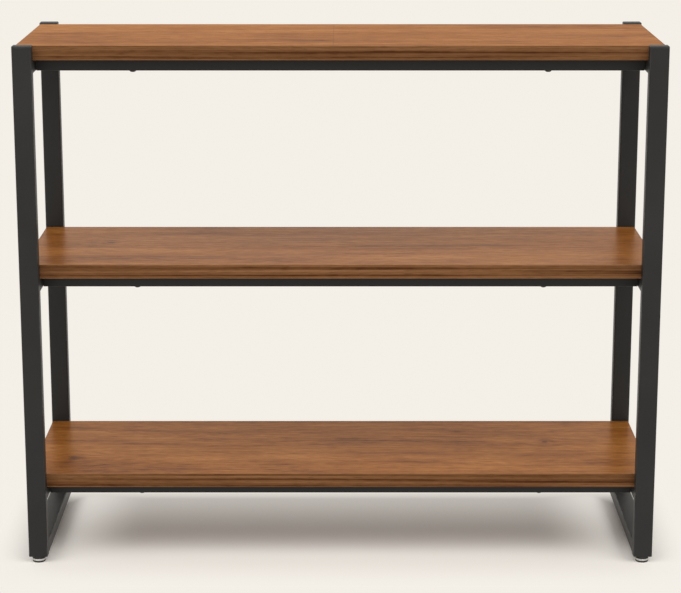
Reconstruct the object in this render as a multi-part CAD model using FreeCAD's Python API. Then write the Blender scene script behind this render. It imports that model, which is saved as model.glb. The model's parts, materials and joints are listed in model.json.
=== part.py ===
import FreeCAD, Part
import math
import os

# Open bookcase: three veneered shelves on two welded tube side frames, tied by bolted cross rails.
# Millimetres. X runs along the shelves, Y from front to back, Z up. The origin is on the floor, midway.

# Overall size
overall_width = 1000.0
overall_depth = 340.0
overall_height = 830.0

# Frame tube, used for the legs, floor rails and side rails
tube_wide = 30.0
tube_narrow = 20.0
tube_wall = 1.5
tube_corner = 2.5

# Cross rails under the shelves, square tube
cross_rail_size = 20.0
cross_rail_wall = 1.2
cross_rail_corner = 1.5
cross_rail_setback = 35.0
cross_rail_fit = 0.1

# Shelves
shelf_thickness = 22.5
shelf_end_inset = 2.0
shelf_leg_gap = 4.0
shelf_below_leg_top = 2.0
bottom_shelf_height = 142.0
edge_band = 1.0
edge_ease = 0.5

# Screws and bolts share one low round head
head_diameter = 11.0
head_height = 3.0
head_crown = 7.0
screw_fit = 0.05
hole_room = 0.3
shelf_screw_diameter = 5.0
shelf_screw_bite = 15.0
shelf_screw_spacing = 644.0
frame_bolt_diameter = 6.0
frame_bolt_bite = 10.0
tip_room = 2.0

# Caps on the leg tops. The bevel is never more than a share of the tube's corner radius.
cap_thickness = 4.0
cap_bevel = 1.6
cap_bevel_share = 0.8
cap_plug_depth = 12.0
cap_plug_wall = 1.6

# Moulded plugs: fins grip the tube, the core stands clear of it
plug_fit = 0.1
plug_core_gap = 0.8
plug_fin = 1.2
plug_fin_pitch = 5.0
plug_first_fin = 1.0

# Levelling feet
foot_height = 10.0
foot_plug_depth = 20.0
stud_diameter = 8.0
stud_fit = 0.05
stud_reach = 24.0
nut_across_flats = 13.0
nut_thickness = 6.5
nut_fit = 0.1
pad_diameter = 20.5
pad_height = 3.0
pad_bevel = 1.2
disc_diameter = 21.0
disc_height = 3.0
collar_diameter = 20.0
collar_gap = 0.3
collar_fit = 0.03
grip_count = 8
grip_radius = 2.5
grip_depth = 0.8
swivel_neck_diameter = 4.8
swivel_bead_diameter = 5.8
swivel_neck_length = 1.0
swivel_bead_length = 1.0
swivel_fit = 0.1

# Places that follow from the sizes above
half_width = overall_width / 2
half_depth = overall_depth / 2
leg_x = half_width - tube_wide / 2
leg_y = half_depth - tube_narrow / 2
rail_span = overall_depth - 2 * tube_narrow
inner_x = half_width - tube_wide
bolt_above_side_rail = (tube_narrow - cross_rail_size) / 2
cross_rail_y = half_depth - tube_narrow - cross_rail_setback - cross_rail_size / 2
top_shelf_height = overall_height - shelf_below_leg_top
middle_shelf_height = (top_shelf_height + bottom_shelf_height) / 2
shelf_tops = {"top": top_shelf_height, "middle": middle_shelf_height, "bottom": bottom_shelf_height}
shelf_length = overall_width - 2 * shelf_end_inset
shelf_depth = rail_span - 2 * shelf_leg_gap
shelf_screw_hole = shelf_screw_diameter / 2 + hole_room
frame_bolt_hole = frame_bolt_diameter / 2 + hole_room
swivel_bead_top = pad_height - swivel_neck_length - swivel_fit
swivel_bead_bottom = swivel_bead_top - swivel_bead_length
sides = {"left": -1, "right": 1}
ends = {"front": -1, "back": 1}
x_axis = FreeCAD.Vector(1, 0, 0)
y_axis = FreeCAD.Vector(0, 1, 0)
z_axis = FreeCAD.Vector(0, 0, 1)


def vector(x, y, z):
    return FreeCAD.Vector(x, y, z)


def rounded_bar(size_x, size_y, corner, length):
    """Solid bar along +Z from the origin, with its four long corners round."""
    half_x = size_x / 2
    half_y = size_y / 2
    mid = corner * (1 - math.sqrt(0.5))
    edges = []
    for turn in range(4):
        along, across = (half_x, half_y) if turn % 2 == 0 else (half_y, half_x)
        points = [
            vector(along, -across + corner, 0),
            vector(along, across - corner, 0),
            vector(along - mid, across - mid, 0),
            vector(along - corner, across, 0),
        ]
        spin = FreeCAD.Rotation(z_axis, 90 * turn)
        start, end, middle, finish = [spin.multVec(point) for point in points]
        edges.append(Part.LineSegment(start, end).toShape())
        edges.append(Part.Arc(end, middle, finish).toShape())
    return Part.Face(Part.Wire(edges)).extrude(vector(0, 0, length))


def square_bar(size_x, size_y, length):
    """Solid bar along +Z from the origin, with sharp corners."""
    return Part.makeBox(size_x, size_y, length, vector(-size_x / 2, -size_y / 2, 0))


def tube(size_x, size_y, wall, corner, length):
    """Hollow bar along +Z from the origin, round outside at its corners and sharp inside."""
    outer = rounded_bar(size_x, size_y, corner, length)
    return outer.cut(square_bar(size_x - 2 * wall, size_y - 2 * wall, length))


def frame_tube(length):
    return tube(tube_wide, tube_narrow, tube_wall, tube_corner, length)


def turned(points):
    """Solid of revolution about Z from the (radius, height) corners of its half section."""
    corners = [vector(radius, 0, height) for radius, height in points]
    outline = Part.makePolygon(corners + corners[:1])
    return Part.Face(outline).revolve(vector(0, 0, 0), z_axis, 360)


def hexagon_bar(across_flats, length):
    """Six-sided bar along +Z from the origin."""
    radius = across_flats / math.sqrt(3)
    corners = []
    for turn in range(7):
        angle = math.radians(60 * turn)
        corners.append(vector(radius * math.cos(angle), radius * math.sin(angle), 0))
    return Part.Face(Part.makePolygon(corners)).extrude(vector(0, 0, length))


def laid_along_y(shape):
    """Turns a shape built along +Z so that it runs along +Y, its X unchanged."""
    shape.rotate(vector(0, 0, 0), x_axis, -90)
    return shape


def laid_along_x(shape):
    """Turns a shape built along +Z so that it runs along +X, its Y unchanged."""
    shape.rotate(vector(0, 0, 0), y_axis, 90)
    return shape


def moved(shape, x, y, z):
    shape.translate(vector(x, y, z))
    return shape


def at_both_ends(left_piece, x, y, z):
    """A piece for the left end of a cross rail, and the same piece turned round for the right end."""
    right_piece = left_piece.copy()
    right_piece.rotate(vector(0, 0, 0), z_axis, 180)
    return [moved(left_piece, -x, y, z), moved(right_piece, x, y, z)]


def save(name, *solids):
    shape = solids[0] if len(solids) == 1 else Part.makeCompound(list(solids))
    shape.exportStep("parts/" + name + ".step")
    print(name, len(shape.Solids), "solid, valid", shape.isValid())


def leg():
    return frame_tube(overall_height - cap_thickness - foot_height)


def side_rail():
    """Front-to-back tube, centred on the origin, drilled across for the two frame bolts."""
    rail = moved(laid_along_y(frame_tube(rail_span)), 0, -rail_span / 2, 0)
    for end in ends.values():
        hole = laid_along_x(Part.makeCylinder(frame_bolt_hole, tube_wide))
        rail = rail.cut(moved(hole, -tube_wide / 2, end * cross_rail_y, bolt_above_side_rail))
    return rail


def floor_rail():
    return moved(laid_along_y(frame_tube(rail_span)), 0, -rail_span / 2, 0)


def cross_rail():
    """Left-to-right tube, centred on the origin, drilled upright for the two shelf screws."""
    length = 2 * inner_x
    rail = tube(cross_rail_size, cross_rail_size, cross_rail_wall, cross_rail_corner, length)
    rail = moved(laid_along_x(rail), -length / 2, 0, 0)
    for side in sides.values():
        hole = Part.makeCylinder(shelf_screw_hole, cross_rail_size)
        rail = rail.cut(moved(hole, side * shelf_screw_spacing / 2, 0, -cross_rail_size / 2))
    return rail


def end_plug():
    """Threaded block in the left end of a cross rail, with its outer face at the origin."""
    size = cross_rail_size - 2 * cross_rail_wall - 2 * cross_rail_fit
    length = frame_bolt_bite + tip_room
    bore = Part.makeCylinder(frame_bolt_diameter / 2, length)
    return laid_along_x(square_bar(size, size, length).cut(bore))


def headed_screw(diameter, length):
    """Screw along +Z: its shank starts at the origin and its low round head is below."""
    shank = diameter / 2 - screw_fit
    head = head_diameter / 2
    return turned([(0, -head_height), (head_crown / 2, -head_height), (head, 0), (shank, 0), (shank, length),
                   (0, length)])


def shelf_screw():
    return headed_screw(shelf_screw_diameter, cross_rail_size + shelf_screw_bite)


def frame_bolt():
    """Bolt for the left end of a cross rail, through the side rail and into the end plug."""
    return laid_along_x(headed_screw(frame_bolt_diameter, tube_wide + frame_bolt_bite))


def screw_places():
    """(x, y) of the shelf screws of one shelf."""
    for side in sides.values():
        for end in ends.values():
            yield side * shelf_screw_spacing / 2, end * cross_rail_y


def shelf_board():
    """Board without its edge bands: centred in X and Y, its top at the origin, drilled for its screws."""
    length = shelf_length - 2 * edge_band
    depth = shelf_depth - 2 * edge_band
    board = Part.makeBox(length, depth, shelf_thickness, vector(-length / 2, -depth / 2, -shelf_thickness))
    for x, y in screw_places():
        pilot = Part.makeCylinder(shelf_screw_diameter / 2, shelf_screw_bite + tip_room)
        board = board.cut(moved(pilot, x, y, -shelf_thickness))
    return board


def eased_strip(length):
    """Edge band centred along X: inner face at Y 0, outer face at -Y, its two long outer edges bevelled."""
    corner = vector(-length / 2, -edge_band, -shelf_thickness)
    strip = Part.makeBox(length, edge_band, shelf_thickness, corner)
    boxes = [(edge, edge.BoundBox) for edge in strip.Edges]
    outer_long = [edge for edge, box in boxes if box.YMax < -edge_band / 2 and box.XLength > length / 2]
    return strip.makeChamfer(min(edge_ease, edge_band / 2), outer_long)


def edge_bands():
    """The four bands of one board, its top at the origin: the long ones cover the ends of the short ones."""
    front = moved(eased_strip(shelf_length), 0, edge_band - shelf_depth / 2, 0)
    back = eased_strip(shelf_length)
    back.rotate(vector(0, 0, 0), z_axis, 180)
    moved(back, 0, shelf_depth / 2 - edge_band, 0)
    left = eased_strip(shelf_depth - 2 * edge_band)
    left.rotate(vector(0, 0, 0), z_axis, -90)
    moved(left, edge_band - shelf_length / 2, 0, 0)
    right = eased_strip(shelf_depth - 2 * edge_band)
    right.rotate(vector(0, 0, 0), z_axis, 90)
    moved(right, shelf_length / 2 - edge_band, 0, 0)
    return front, back, left, right


def finned_plug(depth):
    """Moulded plug for the inside of a leg, from the origin up: a core with fins that grip the tube."""
    fin_x = tube_wide - 2 * tube_wall - 2 * plug_fit
    fin_y = tube_narrow - 2 * tube_wall - 2 * plug_fit
    plug = square_bar(fin_x - 2 * plug_core_gap, fin_y - 2 * plug_core_gap, depth)
    fin_count = 1 + int((depth - plug_first_fin - plug_fin) / plug_fin_pitch)
    for step in range(fin_count):
        fin = square_bar(fin_x, fin_y, plug_fin)
        plug = plug.fuse(moved(fin, 0, 0, plug_first_fin + step * plug_fin_pitch))
    return plug


def leg_cap():
    """Cap on top of a leg: its underside at the origin, a bevelled crown above and a finned plug below."""
    crown = rounded_bar(tube_wide, tube_narrow, tube_corner, cap_thickness)
    top_edges = [edge for edge in crown.Edges if edge.BoundBox.ZMin > cap_thickness / 2]
    crown = crown.makeChamfer(min(cap_bevel, cap_bevel_share * tube_corner), top_edges)
    wall = tube_wall + plug_fit + plug_core_gap + cap_plug_wall
    hollow = square_bar(tube_wide - 2 * wall, tube_narrow - 2 * wall, cap_plug_depth)
    plug = finned_plug(cap_plug_depth).cut(hollow)
    return crown.fuse(moved(plug, 0, 0, -cap_plug_depth)).removeSplitter()


def foot_plug():
    """Plug in the bottom of a leg, from its end at the origin: bored for the stud, pocketed for the nut."""
    plug = finned_plug(foot_plug_depth)
    bore = Part.makeCylinder(stud_diameter / 2 + stud_fit, foot_plug_depth)
    pocket = hexagon_bar(nut_across_flats + 2 * nut_fit, nut_thickness)
    return plug.cut(bore).cut(moved(pocket, 0, 0, foot_plug_depth - nut_thickness)).removeSplitter()


def foot_nut():
    """Captive nut, flush with the top of the foot plug, whose lower end is at the origin."""
    nut = hexagon_bar(nut_across_flats, nut_thickness)
    nut = nut.cut(Part.makeCylinder(stud_diameter / 2 + stud_fit, nut_thickness))
    return moved(nut, 0, 0, foot_plug_depth - nut_thickness)


def foot_pad():
    """Pad on the floor, with a socket that snaps over the stud's swivel bead."""
    neck = swivel_neck_diameter / 2 + swivel_fit
    bead = swivel_bead_diameter / 2 + swivel_fit
    lip = swivel_bead_top + swivel_fit
    floor = swivel_bead_bottom - swivel_fit
    outer = pad_diameter / 2
    return turned([
        (0, 0), (outer - pad_bevel, 0), (outer, pad_bevel), (outer, pad_height), (neck, pad_height),
        (neck, lip), (bead, lip), (bead, floor), (0, floor)])


def foot_stud():
    """Threaded stud with its bright base disc and, below it, the bead that swivels in the pad."""
    stud_radius = stud_diameter / 2
    neck = swivel_neck_diameter / 2
    bead = swivel_bead_diameter / 2
    disc = disc_diameter / 2
    disc_top = pad_height + disc_height
    tip = foot_height + stud_reach
    return turned([
        (0, swivel_bead_bottom), (bead, swivel_bead_bottom), (bead, swivel_bead_top), (neck, swivel_bead_top),
        (neck, pad_height), (disc, pad_height), (disc, disc_top), (stud_radius, disc_top), (stud_radius, tip),
        (0, tip)])


def foot_collar():
    """Finger collar on the stud, scalloped for grip, between the disc and the leg."""
    bottom = pad_height + disc_height
    height = foot_height - collar_gap - bottom
    collar = Part.makeCylinder(collar_diameter / 2, height)
    collar = collar.cut(Part.makeCylinder(stud_diameter / 2 + collar_fit, height))
    for step in range(grip_count):
        angle = 2 * math.pi * step / grip_count
        reach = collar_diameter / 2 + grip_radius - grip_depth
        scallop = Part.makeCylinder(grip_radius, height)
        collar = collar.cut(moved(scallop, reach * math.cos(angle), reach * math.sin(angle), 0))
    return moved(collar, 0, 0, bottom)


os.makedirs("parts", exist_ok=True)

for end_name, end in ends.items():
    for side_name, side in sides.items():
        corner = end_name + "_" + side_name
        x = side * leg_x
        y = end * leg_y
        save("leg_" + corner, moved(leg(), x, y, foot_height))
        save("leg_cap_" + corner, moved(leg_cap(), x, y, overall_height - cap_thickness))
        save("foot_plug_" + corner, moved(foot_plug(), x, y, foot_height))
        save("foot_stud_" + corner, moved(foot_stud(), x, y, 0))
        save("foot_collar_" + corner, moved(foot_collar(), x, y, 0))
        save("foot_pad_" + corner, moved(foot_pad(), x, y, 0))

save("foot_nuts", *[moved(foot_nut(), side * leg_x, end * leg_y, foot_height)
                    for side in sides.values() for end in ends.values()])

for side_name, side in sides.items():
    save("floor_rail_" + side_name, moved(floor_rail(), side * leg_x, 0, foot_height + tube_narrow / 2))

for level, shelf_top in shelf_tops.items():
    underside = shelf_top - shelf_thickness
    rail_axis = underside - cross_rail_size / 2
    rail_underside = underside - cross_rail_size
    save("shelf_" + level, moved(shelf_board(), 0, 0, shelf_top))
    save("edge_bands_" + level, *[moved(band, 0, 0, shelf_top) for band in edge_bands()])
    for side_name, side in sides.items():
        save("side_rail_" + level + "_" + side_name,
             moved(side_rail(), side * leg_x, 0, underside - tube_narrow / 2))
    for end_name, end in ends.items():
        save("cross_rail_" + level + "_" + end_name, moved(cross_rail(), 0, end * cross_rail_y, rail_axis))
    save("shelf_screws_" + level, *[moved(shelf_screw(), x, y, rail_underside) for x, y in screw_places()])
    bolts = []
    plugs = []
    for end in ends.values():
        bolts += at_both_ends(frame_bolt(), half_width, end * cross_rail_y, rail_axis)
        plugs += at_both_ends(end_plug(), inner_x, end * cross_rail_y, rail_axis)
    save("frame_bolts_" + level, *bolts)
    save("rail_end_plugs_" + level, *plugs)
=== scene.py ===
# %% [markdown]
# # A bookcase in wood veneer and black tube
# The real bookcase is two welded side frames of black rectangular tube, tied by square cross rails,
# with a veneered shelf on each pair of rails. Its solids are loaded as a fixed frame, in metres,
# with the floor at Z 0 and the front towards -Y. This lesson adds what the solids can't carry:
# finishes, threads, drive sockets and soft moulded edges. Whatever already has its right shape stays
# as it is.

# %% Load the solids
import json
import math
import bpy
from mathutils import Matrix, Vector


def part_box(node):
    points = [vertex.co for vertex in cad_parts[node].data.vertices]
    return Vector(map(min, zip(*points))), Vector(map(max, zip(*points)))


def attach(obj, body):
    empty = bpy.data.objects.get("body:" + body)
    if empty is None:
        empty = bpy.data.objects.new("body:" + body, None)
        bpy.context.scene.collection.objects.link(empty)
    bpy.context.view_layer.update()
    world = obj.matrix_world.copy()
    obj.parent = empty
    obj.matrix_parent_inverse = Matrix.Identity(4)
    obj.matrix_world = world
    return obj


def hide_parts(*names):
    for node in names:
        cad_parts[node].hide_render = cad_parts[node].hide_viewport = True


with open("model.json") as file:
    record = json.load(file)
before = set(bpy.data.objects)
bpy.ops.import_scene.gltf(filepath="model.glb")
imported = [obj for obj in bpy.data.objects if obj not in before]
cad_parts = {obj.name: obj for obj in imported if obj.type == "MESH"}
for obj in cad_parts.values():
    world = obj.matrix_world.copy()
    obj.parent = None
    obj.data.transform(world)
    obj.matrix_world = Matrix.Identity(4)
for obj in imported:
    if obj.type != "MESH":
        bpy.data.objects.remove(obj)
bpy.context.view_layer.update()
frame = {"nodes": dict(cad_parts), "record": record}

levels = ("top", "middle", "bottom")
corners = {end + "_" + side: (across, away)
           for end, away in (("front", -1.0), ("back", 1.0))
           for side, across in (("left", -1.0), ("right", 1.0))}
leg_x = 0.485
leg_y = 0.160

# %% [markdown]
# ## Writing nodes as sums
# Finishes and Geometry Nodes trees are both graphs of nodes. They could be linked one socket at a
# time, but a page of links hides the idea. Here one small class wraps an output socket, so that sums
# are written as sums, and one method adds any other node: its settings first, then its sockets.

# %% A wire that can be added and multiplied
class Wire:
    """An output socket of a node tree. Python's operators on it add Math nodes."""

    def __init__(self, tree, socket=None):
        self.tree = tree
        self.socket = socket

    @staticmethod
    def pick(sockets, key):
        """A socket by its number, identifier or name."""
        if isinstance(key, int):
            return sockets[key]
        return next(s for s in sockets if key in (s.identifier, s.name))

    def node(self, kind, settings=None, sockets=None, output=0):
        """Adds a node: settings first, then the values or wires of its sockets."""
        made = self.tree.nodes.new(kind)
        for name, value in (settings or {}).items():
            if name == "stops":
                ramp = made.color_ramp.elements
                while len(ramp) < len(value):
                    ramp.new(1.0)
                for stop, (position, colour) in zip(ramp, value):
                    stop.position = position
                    stop.color = (*colour, 1.0)
            elif name == "items":
                while len(made.index_switch_items) < value:
                    made.index_switch_items.new()
            else:
                setattr(made, name, value)
        for key, value in (sockets or {}).items():
            target = self.pick(made.inputs, key)
            for one in value if isinstance(value, list) else [value]:
                if isinstance(one, Wire):
                    self.tree.links.new(one.socket, target)
                else:
                    target.default_value = one
        return Wire(self.tree, self.pick(made.outputs, output) if len(made.outputs) else None)

    def other(self, output):
        """Another output of the same node."""
        return Wire(self.tree, self.pick(self.socket.node.outputs, output))

    def math(self, operation, *values):
        sockets = dict(enumerate((self, *values)))
        return self.node("ShaderNodeMath", {"operation": operation}, sockets)

    def reflected(self, operation, first):
        return self.node("ShaderNodeMath", {"operation": operation}, {0: first, 1: self})

    def __add__(self, value):
        return self.math("ADD", value)

    def __sub__(self, value):
        return self.math("SUBTRACT", value)

    def __rsub__(self, value):
        return self.reflected("SUBTRACT", value)

    def __mul__(self, value):
        return self.math("MULTIPLY", value)

    def __truediv__(self, value):
        return self.math("DIVIDE", value)

    def __rtruediv__(self, value):
        return self.reflected("DIVIDE", value)

    def __mod__(self, value):
        return self.math("MODULO", value)

    __radd__ = __add__


print("Operators ready:", [name for name in vars(Wire) if name.startswith("__r")])

# %% [markdown]
# ## Words for patterns
# Every finish here is built from the same few ideas: noise stretched to a number of cells per metre,
# a soft step from one value to another, a mix of two colours, and a mask for the rounded edges of
# pieces that lie square in the frame. On a flat face one part of the normal is 1, and on a rounded or
# chamfered edge none is, so the largest part tells where hands and boxes rub.

# %% Noise, soft steps, mixes and edges
def noise(place, cells, detail):
    """Noise with this many cells per metre along X, Y and Z."""
    stretched = place.node("ShaderNodeVectorMath", {"operation": "MULTIPLY"}, {0: place, 1: cells})
    sockets = {"Vector": stretched, "Scale": 1.0, "Detail": detail, "Roughness": 0.55}
    return place.node("ShaderNodeTexNoise", {"noise_dimensions": "3D"}, sockets, "Fac")


def soft_step(value, low, high):
    """0 below low and 1 above high, or the other way round if low is the higher."""
    sockets = {"Value": value, "From Min": low, "From Max": high}
    return value.node("ShaderNodeMapRange", {"interpolation_type": "SMOOTHSTEP"}, sockets)


def mix(amount, first, second):
    """The first colour where the amount is 0, the second where it is 1."""
    sockets = {"Factor_Float": amount, "A_Color": first, "B_Color": second}
    return amount.node("ShaderNodeMix", {"data_type": "RGBA"}, sockets, "Result_Color")


def ramp(amount, stops):
    """A colour for each amount, from stops of a position and a colour."""
    return amount.node("ShaderNodeValToRGB", {"stops": stops}, {"Fac": amount})


def parts_of(vector):
    """The X, Y and Z of a vector as three wires."""
    split = vector.node("ShaderNodeSeparateXYZ", {}, {"Vector": vector})
    return split, split.other("Y"), split.other("Z")


# On the edge bands the paler colour laid by this mask is partly a painted highlight.
def rubbed_edges(place):
    """1 on edges that lean between the axes, 0 on flat square faces."""
    normal = place.node("ShaderNodeNewGeometry", output="True Normal")
    x, y, z = (part.math("ABSOLUTE") for part in parts_of(normal))
    flat, leaning = 0.98, 0.8
    return soft_step(x.math("MAXIMUM", y).math("MAXIMUM", z), flat, leaning)


def start_finish(name):
    """A new material with no nodes yet but its place: Object coordinates, in metres."""
    finish = bpy.data.materials.new(name)
    finish.use_nodes = True
    finish.node_tree.nodes.clear()
    return finish, Wire(finish.node_tree).node("ShaderNodeTexCoord", output="Object")


def end_finish(finish, colour, roughness, relief, depth, **steady):
    """Closes a finish: relief times a depth in metres, and the steady sockets by name."""
    bump = roughness.node("ShaderNodeBump", {},
                          {"Strength": 1.0, "Distance": depth, "Height": relief})
    sockets = {"Base Color": colour, "Roughness": roughness, "Normal": bump}
    sockets.update({key.replace("_", " "): value for key, value in steady.items()})
    shader = bump.node("ShaderNodeBsdfPrincipled", {}, sockets)
    shader.node("ShaderNodeOutputMaterial", {}, {"Surface": shader})
    print(finish.name, "has", len(finish.node_tree.nodes), "nodes")
    return finish


finishes = {}

# %% [markdown]
# ## Wood
# The shelves are faced with a warm brown veneer whose grain runs along the shelf, under a satin
# lacquer. A photograph of wood could be wrapped round the board, but it would repeat from shelf to
# shelf. Noise that is longer along the grain than across it gives broad bands, a mottled figure,
# growth lines, flecks and fine pores at their real sizes, and a slow sway keeps them from being ruler
# straight. A knot sits at the middle of one cell in eight or so of a large Voronoi pattern, and the
# grain parts to flow round it. The pattern drifts with height, so no two boards share their knots.

# %% Bands, lines, flecks, pores and knots
def wood(place):
    """Tone from 0 (dark) to 1 (light), pores and knots. X of the place runs along the grain."""
    sway = noise(place, (1.3, 5.0, 8.0), 1.0) - 0.5
    ripple = noise(place, (14.0, 60.0, 40.0), 1.0) - 0.5
    x, y, z = parts_of(place)
    cells_along, drift_along = 2.6, 28.67
    cells_across, drift_across = 7.0, -3.08
    cell = x.node("ShaderNodeCombineXYZ", {}, {"X": x * cells_along + z * drift_along,
                                               "Y": y * cells_across + z * drift_across})
    centre = cell.node("ShaderNodeTexVoronoi", {"voronoi_dimensions": "2D"},
                       {"Vector": cell, "Scale": 1.0}, "Position")
    pick, size, _ = parts_of(centre.other("Color"))
    chosen = soft_step(pick, 0.84, 0.90)
    apart = cell.node("ShaderNodeVectorMath", {"operation": "SUBTRACT"}, {0: cell, 1: centre})
    beside, above, _ = parts_of(apart)
    beside = beside / cells_along
    above = above / cells_across
    distance = (beside * beside + above * above).math("SQRT") + ripple * 0.008
    reach = distance / (1.25 - size * 0.9)
    knots = soft_step(reach, 0.012, 0.002) * chosen
    halo = soft_step(reach, 0.045, 0.006) * chosen
    parting = soft_step(reach, 0.075, 0.004) * chosen
    across = sway * 0.05 + ripple * 0.004 - above * parting * 0.72
    shift = across.node("ShaderNodeCombineXYZ", {}, {"Y": across})
    grain = shift.node("ShaderNodeVectorMath", {"operation": "ADD"}, {0: place, 1: shift})
    bands = noise(grain, (1.5, 20.0, 14.0), 3.0)
    mottle = noise(grain, (7.0, 18.0, 14.0), 2.0)
    lines = noise(grain, (6.0, 170.0, 60.0), 4.0)
    flecks = noise(grain, (48.0, 240.0, 90.0), 2.0)
    fibres = noise(grain, (24.0, 700.0, 200.0), 2.0)
    pores = soft_step(noise(grain, (52.0, 1100.0, 300.0), 0.0), 0.62, 0.74)
    broad = bands * 0.24 + mottle * 0.16
    tone = broad + lines * 0.23 + flecks * 0.19 + fibres * 0.18 - halo * 0.05
    return tone, pores, knots


# %% [markdown]
# ### Shelf veneer
# The faces of the boards are the lighter wood. Lacquer fills most of the pores, so the relief is only
# a few hundredths of a millimetre, and the sheen is a little duller in the pores. The top board is
# used and dusted most, so its lacquer is duller than that of the two below. Its veneer is laid in two
# lengths, which meet near the middle in a joint that hardly shows. Much of the sheen comes from the
# fibres under the lacquer and has the colour of the wood: where a shelf mirrors a dark leg, the
# picture goes deep brown. A share of metal in the shader gives a sheen of that kind.

# %% Finish of the shelf faces
def shelf_veneer():
    finish, place = start_finish("shelf_veneer")
    tone, pores, knots = wood(place)
    x, _, z = parts_of(place)
    pore_brown = (0.140, 0.046, 0.012, 1.0)
    knot_brown = (0.070, 0.022, 0.007, 1.0)
    joint_brown = (0.120, 0.040, 0.010, 1.0)
    joint_x = -0.011
    below_top_board = 0.7
    colour = ramp(tone, [(0.39, (0.127, 0.036, 0.006)), (0.46, (0.272, 0.092, 0.016)),
                         (0.525, (0.369, 0.134, 0.026)), (0.61, (0.473, 0.196, 0.049))])
    colour = mix(pores * 0.45, colour, pore_brown)
    colour = mix(knots * 0.72, colour, knot_brown)
    top_board = z.math("GREATER_THAN", below_top_board)
    joint = soft_step((x - joint_x).math("ABSOLUTE"), 0.0012, 0.0004) * top_board
    colour = mix(joint * 0.30, colour, joint_brown)
    cloud = noise(place, (2.0, 9.0, 5.0), 2.0)
    roughness = 0.31 + top_board * 0.16 + pores * 0.12 + (cloud - 0.5) * 0.10
    relief = tone - pores * 0.6 - joint
    return end_finish(finish, colour, roughness, relief, depth=0.00004,
                      Specular_IOR_Level=0.015, Metallic=0.26)


finishes["shelf_veneer"] = shelf_veneer()

# %% [markdown]
# ### Edge veneer
# The edge bands are thin strips of the same wood, cut so that dark growth lines run along them. On
# the front and back the grain follows X and on the two ends it follows Y, so the place is turned on
# the end bands before the same wood is read from it. Their colours are darker than those of the
# faces:
# partly the dark growth lines, and partly painted shade, since the upright bands get less light. The
# eased arrises catch the light and are paler: partly rubbed, and partly a painted highlight.

# %% Finish of the edge bands
def edge_veneer():
    finish, place = start_finish("edge_veneer")
    x, y, z = parts_of(place)
    pore_brown = (0.060, 0.019, 0.005, 1.0)
    rubbed_and_highlight_brown = (0.320, 0.160, 0.075, 1.0)
    inside_end_bands = 0.4968
    end_band = x.math("ABSOLUTE").math("GREATER_THAN", inside_end_bands)
    along = x + end_band * (y - x)
    into = y + end_band * (x - y)
    turned = along.node("ShaderNodeCombineXYZ", {}, {"X": along, "Y": z, "Z": into})
    tone, pores, _ = wood(turned)
    streaks = noise(turned, (1.3, 210.0, 4.0), 2.0)
    tone = tone * 0.45 + streaks * 0.55
    # Painted shade: these colours are darker than the faces' wood, partly for the shade on the
    # upright bands.
    colour = ramp(tone, [(0.40, (0.071, 0.024, 0.008)), (0.47, (0.166, 0.068, 0.024)),
                         (0.54, (0.227, 0.099, 0.039)), (0.63, (0.310, 0.148, 0.065))])
    colour = mix(pores * 0.35, colour, pore_brown)
    # The paler arrises are partly wear and partly a painted highlight.
    colour = mix(rubbed_edges(place) * 0.55, colour, rubbed_and_highlight_brown)
    roughness = 0.44 + pores * 0.10
    relief = tone - pores * 0.6
    return end_finish(finish, colour, roughness, relief, depth=0.00004, Specular_IOR_Level=0.06)


finishes["edge_veneer"] = edge_veneer()

# %% [markdown]
# ## Black finishes
# The tube is powder coated: the powder melts to a satin skin with a fine pebbled surface. The caps,
# plugs, collars and pads are moulded in black plastic with a duller, finer skin, and the screws are
# blackened steel. All three are nearly the same black, and the sheen and the relief tell them apart.

# %% Finish of the tubes
def frame_paint():
    finish, place = start_finish("frame_paint")
    pebble_grey = (0.034, 0.033, 0.032, 1.0)
    rubbed_grey = (0.075, 0.073, 0.070, 1.0)
    pebbles = noise(place, (900.0, 900.0, 900.0), 2.0)
    cloud = noise(place, (6.0, 6.0, 6.0), 3.0)
    scuffs = noise(place, (90.0, 90.0, 25.0), 3.0)
    rubbed = rubbed_edges(place) * soft_step(scuffs, 0.40, 0.66)
    colour = ramp(cloud, [(0.30, (0.0130, 0.0126, 0.0120)), (0.70, (0.0210, 0.0203, 0.0194))])
    colour = mix(soft_step(pebbles, 0.55, 0.75) * 0.35, colour, pebble_grey)
    colour = mix(rubbed * 0.45, colour, rubbed_grey)
    roughness = 0.46 + (cloud - 0.5) * 0.12 + (pebbles - 0.5) * 0.08 - rubbed * 0.08
    return end_finish(finish, colour, roughness, pebbles, depth=0.00006, Specular_IOR_Level=0.30)


finishes["frame_paint"] = frame_paint()

# %% Finish of the moulded pieces
def black_plastic():
    finish, place = start_finish("black_plastic")
    rubbed_grey = (0.050, 0.050, 0.050, 1.0)
    skin = noise(place, (1800.0, 1800.0, 1800.0), 2.0)
    cloud = noise(place, (60.0, 60.0, 60.0), 2.0)
    colour = ramp(cloud, [(0.30, (0.0130, 0.0130, 0.0132)), (0.70, (0.0230, 0.0228, 0.0226))])
    colour = mix(rubbed_edges(place) * 0.25, colour, rubbed_grey)
    roughness = 0.52 + (skin - 0.5) * 0.16
    return end_finish(finish, colour, roughness, skin, depth=0.00003, Specular_IOR_Level=0.35)


finishes["black_plastic"] = black_plastic()

# %% Finish of the screws
def black_screws():
    finish, place = start_finish("black_screws")
    stain = noise(place, (260.0, 260.0, 260.0), 3.0)
    grit = noise(place, (2600.0, 2600.0, 2600.0), 1.0)
    colour = ramp(stain, [(0.35, (0.0160, 0.0158, 0.0170)), (0.68, (0.0360, 0.0330, 0.0310))])
    roughness = 0.38 + (stain - 0.5) * 0.2
    return end_finish(finish, colour, roughness, grit, depth=0.00002,
                      Metallic=0.35, Specular_IOR_Level=0.5)


finishes["black_screws"] = black_screws()

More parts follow.
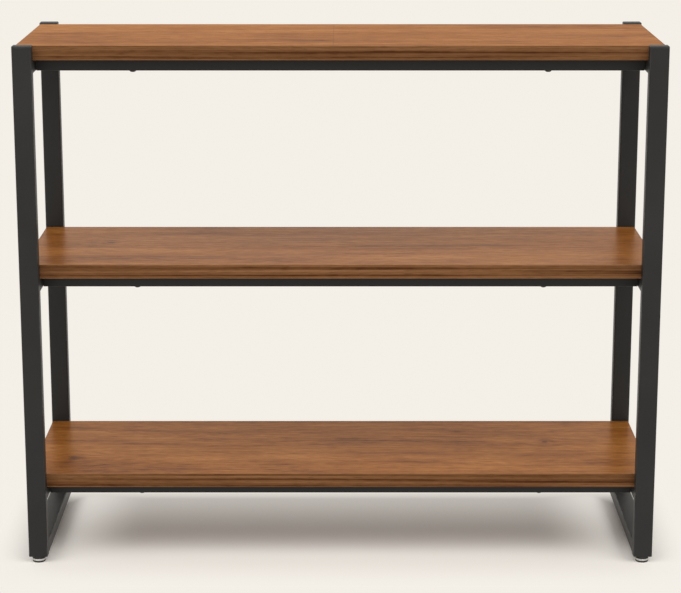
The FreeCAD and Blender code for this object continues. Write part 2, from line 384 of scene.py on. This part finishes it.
# %% [markdown]
# ## Bright steel
# The disc of each levelling foot and its stud are turned steel under bright zinc. A lathe leaves
# rings about the axis, so the relief is read from the distance to the nearest foot's axis, which is
# the same sum for all four feet once X and Y lose their signs.

# %% Finish of the feet's steel
def bright_steel():
    finish, place = start_finish("bright_steel")
    x, y, z = parts_of(place)
    side = x.math("ABSOLUTE") - leg_x
    depth = y.math("ABSOLUTE") - leg_y
    reach = (side * side + depth * depth).math("SQRT")
    rings_outward, rings_upward = 5200.0, 3100.0
    ring = reach * rings_outward + z * rings_upward
    rings = ring.node("ShaderNodeTexNoise", {"noise_dimensions": "1D"},
                      {"W": ring, "Scale": 1.0, "Detail": 2.0}, "Fac")
    bloom = noise(place, (220.0, 220.0, 220.0), 3.0)
    colour = ramp(bloom, [(0.32, (0.50, 0.50, 0.50)), (0.70, (0.70, 0.69, 0.67))])
    roughness = 0.20 + rings * 0.16 + (bloom - 0.5) * 0.10
    return end_finish(finish, colour, roughness, rings, depth=0.00003, Metallic=1.0)


finishes["bright_steel"] = bright_steel()

# %% [markdown]
# ## Dressing the solids
# The record names a finish for each solid. Tubes, boards, edge bands, plugs and nuts already have
# their right shape, so they only get their finish. The rest get one too, until a finer piece stands
# for them.

# %% Give each solid its finish
for subpart in frame["record"]["subparts"]:
    skin = frame["nodes"][subpart["node"]].data.materials
    skin.clear()
    skin.append(finishes[subpart["material_slot"]])

# %% [markdown]
# ## Trees for turned and moulded pieces
# Heads, discs, pads and collars are all turned: a profile swept round an axis. They could be spun in
# edit mode, but a tree keeps every size as a named input. A grid is bent round: each of its rows is
# one point of the profile and each column one step of the turn, and merging close points shuts the
# seam.

# %% Start a tree, bend a grid and end the tree
def start_tree(name, sizes):
    """An empty tree with one named input for each size, and the wires of those inputs."""
    tree = bpy.data.node_groups.new(name, "GeometryNodeTree")
    tree.interface.new_socket("Geometry", in_out="OUTPUT", socket_type="NodeSocketGeometry")
    for size in sizes:
        tree.interface.new_socket(size, in_out="INPUT", socket_type="NodeSocketFloat")
    start = Wire(tree).node("NodeGroupInput")
    return tree, start, [start.other(size) for size in sizes]


def bent_grid(start, rows, steps):
    """A grid, with the row and the step round the axis of each of its points."""
    sockets = {"Vertices X": rows, "Vertices Y": steps + 1}
    grid = start.node("GeometryNodeMeshGrid", {}, sockets)
    index = start.node("GeometryNodeInputIndex")
    row = (index / (steps + 1.0)).math("FLOOR")
    return grid, row, index - row * (steps + 1.0)


def by_row(row, profile):
    """The columns of a profile as wires: each has one value for each row."""
    settings = {"data_type": "FLOAT", "items": len(profile)}
    return [row.node("GeometryNodeIndexSwitch", settings, dict(enumerate((row, *column))))
            for column in zip(*profile)]


def lathe(start, profile, steps):
    """A grid with a row for each point of a profile, its angles and the profile's columns."""
    grid, row, step = bent_grid(start, len(profile), steps)
    return grid, step * (math.tau / steps), by_row(row, profile)


def shut(grid, x, y, z):
    """Puts the grid's points in place, shuts its seam and turns its faces outwards."""
    merge_within = 2e-6
    place = z.node("ShaderNodeCombineXYZ", {}, {"X": x, "Y": y, "Z": z})
    bent = place.node("GeometryNodeSetPosition", {}, {"Geometry": grid, "Position": place})
    merged = bent.node("GeometryNodeMergeByDistance", {},
                       {"Geometry": bent, "Distance": merge_within})
    return merged.node("GeometryNodeFlipFaces", {}, {"Mesh": merged})


def shut_round(grid, radius, angle, z):
    """The same for points given by their radius and angle about Z."""
    return shut(grid, radius * angle.math("COSINE"), radius * angle.math("SINE"), z)


def end_tree(shapes, finish, at=None):
    """Joins the shapes, puts them at a place, realizes them and sets the finish."""
    whole = shapes[0].node("GeometryNodeJoinGeometry", {}, {"Geometry": shapes})
    if at:
        place = whole.node("ShaderNodeCombineXYZ", {}, {"X": at[0], "Y": at[1]})
        whole = whole.node("GeometryNodeTransform", {},
                           {"Geometry": whole, "Translation": place})
    real = whole.node("GeometryNodeRealizeInstances", {}, {"Geometry": whole})
    skin = real.node("GeometryNodeSetMaterial", {},
                     {"Geometry": real, "Material": finishes[finish]})
    skin.node("NodeGroupOutput", {}, {"Geometry": skin})


# %% Turn a tree into a piece
smooth_below = math.radians(32.0)


def make_piece(name, tree, sizes, body, node):
    """Runs a tree with these sizes, and lets the result ride on a body in place of a solid."""
    piece = bpy.data.objects.new(name, bpy.data.meshes.new(name))
    bpy.context.scene.collection.objects.link(piece)
    modifier = piece.modifiers.new("tree", "NODES")
    modifier.node_group = tree
    for item in tree.interface.items_tree:
        if item.in_out == "INPUT":
            modifier[item.identifier] = float(sizes[item.name])
    seen = piece.evaluated_get(bpy.context.evaluated_depsgraph_get())
    mesh = bpy.data.meshes.new_from_object(seen)
    piece.modifiers.clear()
    piece.data = mesh
    mesh.shade_smooth()
    mesh.set_sharp_from_angle(angle=smooth_below)
    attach(piece, body)
    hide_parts(node)
    print(name, "has", len(mesh.polygons), "faces")


# %% [markdown]
# ## Threads
# A thread is a ridge that climbs one pitch in each turn. A screw modifier could wind it, but a bent
# grid does it with sums alone: each step round the axis also climbs a share of the pitch, so the last
# step of one turn meets the first step of the next. Four rows make one turn: two on the ridge and two
# in the groove. The ridge fades out at both ends, where the rod is clamped flat and closed.

# %% A threaded rod between two heights
def threaded_rod(start, steps, crest, depth, pitch, low, high, tip):
    """A closed rod with a right-hand thread. Its low end narrows over the length of its tip."""
    rows_in_turn = 4.0
    left_at_tip = 0.1
    turns = ((high - low) / pitch).math("CEIL") + 1.0
    rows = turns * rows_in_turn + 3.0
    grid, row, step = bent_grid(start, rows, steps)
    inner = (row - 1.0).math("MAXIMUM", 0.0).math("MINIMUM", turns * rows_in_turn)
    climb = low + (inner / rows_in_turn - 1.0 + step / float(steps)) * pitch
    z = climb.math("MAXIMUM", low).math("MINIMUM", high)
    ridge = (inner % rows_in_turn - 1.5).math("ABSOLUTE").math("LESS_THAN", 1.0)
    room = (z - low).math("MINIMUM", high - z)
    fade = (room / pitch).math("MINIMUM", 1.0)
    narrow = ((z - low) / tip + left_at_tip).math("MINIMUM", 1.0)
    open_row = row.math("GREATER_THAN", 0.5) * row.math("LESS_THAN", rows - 1.5)
    radius = (crest - depth + depth * ridge * fade) * narrow * open_row
    return shut_round(grid, radius, step * (math.tau / steps), z)


# %% [markdown]
# ## Shelf screws and frame bolts
# Under each cross rail two button-headed screws go up into the shelf, and at each of its ends a bolt
# goes through the side rail into the rail's end plug. Both have a domed head with a six-sided drive
# socket. One tree makes a screw and sets it at the corners of a rectangle, and its inputs turn it
# into either kind: screws look down, bolts look out to the left and right.

# %% The tree of a screw set
screw_sizes = ("Spacing X", "Spacing Y", "Seat Height", "Look Out", "Look Down", "Head Radius",
               "Head Height", "Socket Width", "Shank Radius", "Thread Depth", "Pitch", "Length",
               "Tip")
screw_tree, start, wires = start_tree("screw_set", screw_sizes)
spacing_x, spacing_y, seat, look_out, look_down, head, tall = wires[:7]
socket, shank, depth, pitch, length, tip = wires[7:]
rim = 0.12
dome = [math.radians(degrees) for degrees in (10, 20, 30, 40, 50, 60)]
bore = socket * 0.5
# Each point of the profile: its radius, its height, and 1 where the outline is six-sided.
profile = [(0.0, 0.0, 0.0), (head * 0.97, 0.0, 0.0), (head, tall * 0.04, 0.0),
           (head, tall * rim, 0.0)]
for lean in dome:
    rise = rim + (1.0 - rim) * math.sin(lean) / math.sin(dome[-1])
    profile.append((head * math.cos(lean), tall * rise, 0.0))
profile += [(bore * 1.10, tall, 1.0), (bore, tall * 0.93, 1.0), (bore, tall * 0.36, 1.0),
            (0.0, tall * 0.28, 0.0)]
grid, angle, (radius, height, six_sided) = lathe(start, profile, steps=24)
sixth = math.tau / 6.0
flats = 1.0 / (angle % sixth - sixth / 2.0).math("COSINE")
radius = radius * (1.0 + six_sided * (flats - 1.0))
button = shut_round(grid, radius, angle, height)
rod = threaded_rod(start, 12, shank, depth, pitch, length * -1.0, tall * 0.1, tip)
screw = button.node("GeometryNodeJoinGeometry", {}, {"Geometry": [button, rod]})
spots = start.node("GeometryNodeMeshGrid", {}, {
    "Size X": spacing_x, "Size Y": spacing_y, "Vertices X": 2, "Vertices Y": 2})
lift = seat.node("ShaderNodeCombineXYZ", {}, {"Z": seat})
spots = spots.node("GeometryNodeSetPosition", {}, {"Geometry": spots, "Offset": lift})
out = parts_of(start.node("GeometryNodeInputPosition"))[0].math("SIGN")
look = out.node("ShaderNodeCombineXYZ", {}, {"X": out * look_out, "Z": look_down * -1.0})
turn = look.node("FunctionNodeAlignRotationToVector", {"axis": "Z"}, {"Vector": look})
screws = spots.node("GeometryNodeInstanceOnPoints", {},
                    {"Points": spots, "Instance": screw, "Rotation": turn})
end_tree([screws], "black_screws")
print("The screw tree has", len(screw_tree.nodes), "nodes")

# %% Set the screws and bolts of each shelf
heads = {"Head Radius": 0.0055, "Head Height": 0.003, "Socket Width": 0.004, "Spacing Y": 0.210}
wood_screw = {"Spacing X": 0.644, "Look Out": 0.0, "Look Down": 1.0, "Shank Radius": 0.00245,
              "Thread Depth": 0.0007, "Pitch": 0.0022, "Length": 0.035, "Tip": 0.006, **heads}
bolt = {"Spacing X": 1.0, "Look Out": 1.0, "Look Down": 0.0, "Shank Radius": 0.00295,
        "Thread Depth": 0.0005, "Pitch": 0.001, "Length": 0.040, "Tip": 0.001, **heads}
for level in levels:
    low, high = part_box("cross_rail_" + level + "_front")
    under = {"Seat Height": low.z}
    halfway = {"Seat Height": (low.z + high.z) / 2.0}
    make_piece("button_screws_" + level, screw_tree, {**wood_screw, **under}, "frame",
               "shelf_screws_" + level)
    make_piece("button_bolts_" + level, screw_tree, {**bolt, **halfway}, "frame",
               "frame_bolts_" + level)

# %% [markdown]
# ## Levelling feet
# A foot is a threaded stud on a bright disc, with a scalloped finger collar above the disc and a
# round pad that swivels on a bead below it. The pads only go up and down and the studs turn, so they
# are separate pieces on separate bodies. Each is turned from its own profile, with small radii on its
# edges.

# %% The rounded rim of a disc
def soft_rim(radius, low, high, edge):
    """Points up the outside of a disc, with a small radius on both of its edges."""
    inside = edge * 0.3
    return [(radius - edge, low), (radius - inside, low + inside), (radius, low + edge),
            (radius, high - edge), (radius - inside, high - inside), (radius - edge, high)]


quarter_round = [math.radians(degrees) for degrees in (0, 22.5, 45, 67.5, 90)]
print("A quarter round has", len(quarter_round), "points")

# %% The tree of a stud with its disc and bead
stud_sizes = ("Place X", "Place Y", "Bead Low", "Bead High", "Bead Radius", "Neck Radius",
              "Disc Low", "Disc High", "Disc Radius", "Edge", "Stud Radius", "Thread Depth",
              "Pitch", "Stud Top")
stud_tree, start, wires = start_tree("threaded_foot", stud_sizes)
place_x, place_y, bead_low, bead_high, bead, neck, low = wires[:7]
high, disc, edge, crest, depth, pitch, top = wires[7:]
into_disc = 0.0002
profile = [(0.0, bead_low), (bead * 0.9, bead_low), (bead, bead_low + edge),
           (bead, bead_high - edge), (neck, bead_high), (neck, low),
           *soft_rim(disc, low, high, edge), (0.0, high)]
grid, angle, (radius, height) = lathe(start, profile, steps=64)
base = shut_round(grid, radius, angle, height)
rod = threaded_rod(start, 24, crest, depth, pitch, high - into_disc, top, pitch * 0.1)
end_tree([base, rod], "bright_steel", (place_x, place_y))
print("The stud tree has", len(stud_tree.nodes), "nodes")

# %% The tree of a finger collar
collar_sizes = ("Place X", "Place Y", "Low", "High", "Radius", "Bore Radius", "Edge", "Grips",
                "Grip Radius", "Grip Depth")
collar_tree, start, wires = start_tree("finger_collar", collar_sizes)
place_x, place_y, low, high, outer, bore, edge, grips, grip, depth = wires
# Each point of the profile: its radius, its height, and 1 where the finger grips cut in.
profile = [(bore, low, 0.0), *((*point, 1.0) for point in soft_rim(outer, low, high, edge)),
           (bore, high, 0.0), (bore, low, 0.0)]
grid, angle, (radius, height, gripped) = lathe(start, profile, steps=96)
span = math.tau / grips
aside = ((angle + span * 0.5) % span - span * 0.5) * outer
chord = (grip * grip - aside * aside).math("MAXIMUM", 0.0).math("SQRT")
scallop = (chord - grip + depth).math("MAXIMUM", 0.0)
ring = shut_round(grid, radius - gripped * scallop, angle, height)
end_tree([ring], "black_plastic", (place_x, place_y))
print("The collar tree has", len(collar_tree.nodes), "nodes")

# %% The tree of a floor pad
pad_sizes = ("Place X", "Place Y", "Radius", "Height", "Edge", "Lip Edge", "Neck Radius",
             "Lip Height", "Socket Radius", "Socket Floor")
pad_tree, start, wires = start_tree("floor_pad", pad_sizes)
place_x, place_y, outer, tall, edge, lip_edge, neck, lip, socket, socket_floor = wires
profile = [(0.0, 0.0)]
profile += [(outer - edge * (1.0 - math.sin(lean)), edge * (1.0 - math.cos(lean)))
            for lean in quarter_round]
profile += [(outer - lip_edge * (1.0 - math.cos(lean)), tall - lip_edge * (1.0 - math.sin(lean)))
            for lean in quarter_round]
profile += [(neck, tall), (neck, lip), (socket, lip), (socket, socket_floor), (0.0, socket_floor)]
grid, angle, (radius, height) = lathe(start, profile, steps=64)
end_tree([shut_round(grid, radius, angle, height)], "black_plastic", (place_x, place_y))
print("The pad tree has", len(pad_tree.nodes), "nodes")

# %% Set the four feet
stud = {"Bead Low": 0.001, "Bead High": 0.002, "Bead Radius": 0.0029, "Neck Radius": 0.0024,
        "Disc Low": 0.003, "Disc High": 0.006, "Disc Radius": 0.0105, "Edge": 0.0004,
        "Stud Radius": 0.004, "Thread Depth": 0.0006, "Pitch": 0.00125, "Stud Top": 0.034}
collar = {"Low": 0.006, "High": 0.0097, "Radius": 0.010, "Bore Radius": 0.00403, "Edge": 0.0005,
          "Grips": 8.0, "Grip Radius": 0.0025, "Grip Depth": 0.0008}
pad = {"Radius": 0.01025, "Height": 0.00297, "Edge": 0.0012, "Lip Edge": 0.0003,
       "Neck Radius": 0.0025, "Lip Height": 0.0021, "Socket Radius": 0.003, "Socket Floor": 0.0009}
for corner, (across, away) in corners.items():
    at = {"Place X": across * leg_x, "Place Y": away * leg_y}
    make_piece("threaded_foot_" + corner, stud_tree, {**stud, **at}, "stud_" + corner,
               "foot_stud_" + corner)
    make_piece("finger_collar_" + corner, collar_tree, {**collar, **at}, "stud_" + corner,
               "foot_collar_" + corner)
    make_piece("floor_pad_" + corner, pad_tree, {**pad, **at}, "pad_" + corner,
               "foot_pad_" + corner)

# %% [markdown]
# ## Leg caps
# Each leg is shut by a moulded cap: a crown as wide as the tube with a soft top edge, and a finned
# plug that wedges inside. A bevelled box would do for the crown alone. A bent grid makes crown and
# plug at once: its steps follow the tube's outline with its round corners, and each row says how far
# in from the outline it lies, and how high.

# %% The tree of a leg cap
cap_sizes = ("Place X", "Place Y", "Seat Height", "Width", "Depth", "Corner", "Crown", "Edge",
             "Plug Inset", "Fin", "Fin Pitch", "Plug Depth")
cap_tree, start, wires = start_tree("leg_cap", cap_sizes)
place_x, place_y, seat, width, depth, corner_radius = wires[:6]
crown, edge, plug, fin, pitch, deep = wires[6:]
middle = depth * 0.5
between_fins = plug + fin
profile = [(middle, deep * -1.0), (between_fins, deep * -1.0)]
for fin_number in (2, 1):
    under = pitch * -float(fin_number) - fin * 0.75
    profile += [(between_fins, under), (plug, under + fin * 0.5), (plug, under + fin),
                (between_fins, under + fin * 1.5)]
profile += [(between_fins, 0.0), (edge * 0.1, 0.0), (0.0, crown * 0.05)]
profile += [(edge * (1.0 - math.cos(lean)), crown - edge * (1.0 - math.sin(lean)))
            for lean in quarter_round]
profile += [(middle, crown)]
corner_points = 7
steps = 4 * corner_points
grid, row, step = bent_grid(start, len(profile), steps)
step = step % float(steps)
quarter = (step / float(corner_points)).math("FLOOR")
quarter_turn = math.tau / 4.0
lean = (quarter + (step - quarter * corner_points) / (corner_points - 1.0)) * quarter_turn
facing = (quarter + 0.5) * quarter_turn
inset, height = by_row(row, profile)
from_corner = corner_radius.math("MAXIMUM", inset)
bend = (corner_radius - inset).math("MAXIMUM", 0.0)
half_x = width * 0.5 - from_corner
half_y = depth * 0.5 - from_corner
x = facing.math("COSINE").math("SIGN") * half_x + bend * lean.math("COSINE")
y = facing.math("SINE").math("SIGN") * half_y + bend * lean.math("SINE")
end_tree([shut(grid, x, y, height + seat)], "black_plastic", (place_x, place_y))
print("The cap tree has", len(cap_tree.nodes), "nodes")

# %% Cap the four legs
cap = {"Seat Height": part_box("leg_front_left")[1].z, "Width": 0.030, "Depth": 0.020,
       "Corner": 0.0025, "Crown": 0.004, "Edge": 0.0018, "Plug Inset": 0.0016, "Fin": 0.0008,
       "Fin Pitch": 0.005, "Plug Depth": 0.012}
for corner, (across, away) in corners.items():
    at = {"Place X": across * leg_x, "Place Y": away * leg_y}
    make_piece("soft_cap_" + corner, cap_tree, {**cap, **at}, "frame", "leg_cap_" + corner)

# %% [markdown]
# ## Floor, backdrop and light
# The picture has one pale tone from floor to backdrop and a soft shadow under the bookcase, with a
# dark line and a lighter strip along each floor rail. The shelves are brighter at the open ends than
# at the back of the middle, as with wide lamps at both sides and in front. Three suns stand for them,
# with a weak one behind and a sky of one tone, so every part of the floor is lit alike and needs no
# backdrop. The camera and mirror-like surfaces see the pale tone, and other rays a plain sky. Away
# from the bookcase the floor glows by itself in that tone, so that only the shadow under it shows.
# Under the bookcase a weak glow is painted light: it lightens the shadow, more towards the back, and
# the strip that the side suns light inside each floor rail is painted lighter by it. Along the rails
# the glow is held back, so that their real shadow shows as a dark line.
# Each quarter of the floor rides on the foot that stands on it, with a skirt down its inner sides: a
# foot that is screwed out still stands, as on a floor that isn't level.

# %% Mix the floor's finish
pale = (0.904, 0.863, 0.799, 1.0)
floor_grey = (0.45, 0.44, 0.42, 1.0)


def seen_directly(wire):
    """1 for rays of the camera and of mirror-like or clear surfaces."""
    path = wire.node("ShaderNodeLightPath", output="Is Camera Ray")
    mirrored = path.other("Is Glossy Ray").math("MAXIMUM", path.other("Is Transmission Ray"))
    return path.math("MAXIMUM", mirrored)


ground = bpy.data.materials.new("pale_floor")
ground.use_nodes = True
ground.node_tree.nodes.clear()
seen = seen_directly(Wire(ground.node_tree))
tone = mix(seen, floor_grey, pale)
matt = tone.node("ShaderNodeBsdfDiffuse", {}, {"Color": tone})
pale_glow = matt.node("ShaderNodeEmission", {}, {"Color": pale, "Strength": 1.0})
x, y, _ = parts_of(matt.node("ShaderNodeTexCoord", output="Object"))
sideways = x.math("ABSOLUTE")
shadow_y = -0.03
past_ends = soft_step(sideways, 0.475, 0.57)
past_front = soft_step((y - shadow_y).math("ABSOLUTE"), 0.12, 0.25)
# Painted light: the glow under the bookcase grows towards its back and in strips inside its ends, and
# drops along the floor rails.
painted_light_back = soft_step(y, -0.10, 0.16)
painted_light_strips = soft_step(sideways, 0.33, 0.44)
at_rails = soft_step(sideways, 0.435, 0.480)
under = (0.045 + painted_light_back * 0.34 + painted_light_strips * 0.24) * (1.0 - at_rails * 0.9)
glowing = seen * under.math("MAXIMUM", past_ends.math("MAXIMUM", past_front))
blend = glowing.node("ShaderNodeMixShader", {}, {0: glowing, 1: matt, 2: pale_glow})
blend.node("ShaderNodeOutputMaterial", {}, {"Surface": blend})
print("The floor's finish has", len(ground.node_tree.nodes), "nodes")

# %% Lay the floor
floor_reach = 60.0
skirt = -0.02
for corner, (across, away) in corners.items():
    x, y = across * floor_reach, away * floor_reach
    points = [(0.0, 0.0, 0.0), (x, 0.0, 0.0), (x, y, 0.0), (0.0, y, 0.0),
              (0.0, 0.0, skirt), (x, 0.0, skirt), (0.0, y, skirt)]
    faces = [(0, 1, 2, 3), (1, 0, 4, 5), (0, 3, 6, 4)]
    mesh = bpy.data.meshes.new("floor_" + corner)
    mesh.from_pydata(points, [], faces if x * y > 0.0 else [face[::-1] for face in faces])
    mesh.materials.append(ground)
    quarter_floor = bpy.data.objects.new("floor_" + corner, mesh)
    bpy.context.scene.collection.objects.link(quarter_floor)
    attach(quarter_floor, "pad_" + corner)
print("The floor reaches", floor_reach, "m each way")

# %% Light it
sky_grey = (0.33, 0.33, 0.33, 1.0)
sky = bpy.data.worlds.new("studio_sky")
sky.use_nodes = True
sky.node_tree.nodes.clear()
tone = mix(seen_directly(Wire(sky.node_tree)), sky_grey, pale)
glow = tone.node("ShaderNodeBackground", {}, {"Color": tone, "Strength": 1.0})
glow.node("ShaderNodeOutputWorld", {}, {"Surface": glow})
bpy.context.scene.world = sky

# Each sun: its name and strength, and in degrees its height, its turn about Z and its width.
suns = (("left_sun", 0.90, 45.0, -62.0, 40.0),
        ("right_sun", 1.00, 45.0, 62.0, 40.0),
        ("front_sun", 1.10, 42.0, 0.0, 70.0),
        ("back_sun", 0.25, 57.0, 180.0, 70.0))
for name, energy, sun_height, sun_turn, sun_width in suns:
    lamp = bpy.data.lights.new(name, "SUN")
    lamp.energy = energy
    lamp.angle = math.radians(sun_width)
    sun = bpy.data.objects.new(name, lamp)
    sun.rotation_euler = (math.radians(90.0 - sun_height), 0.0, math.radians(sun_turn))
    bpy.context.scene.collection.objects.link(sun)
    print(name, energy, "W/m2 at", sun_height, "degrees")
bpy.context.scene.view_settings.view_transform = "Standard"

# %% [markdown]
# ## Camera
# The picture was taken from the front, from above the top shelf, with a long lens. Its uprights are
# parallel, as from a lens that was shifted rather than tilted. That large a shift would push the
# bookcase out of every other view, so the camera has none and looks down by some degrees. Its place,
# lens and tilt are those that bring the legs and shelves closest to where the picture has them.

# %% Set the camera
lens = bpy.data.cameras.new("front_camera")
lens.sensor_width = 36.0
lens.lens = 115.14
lens.clip_end = 300.0
camera = bpy.data.objects.new("front_camera", lens)
camera.location = (0.0, -3.470, 1.235)
camera.rotation_euler = (math.radians(76.45), 0.0, 0.0)
bpy.context.scene.collection.objects.link(camera)
bpy.context.scene.camera = camera
print("Camera at", tuple(camera.location))

# %% [markdown]
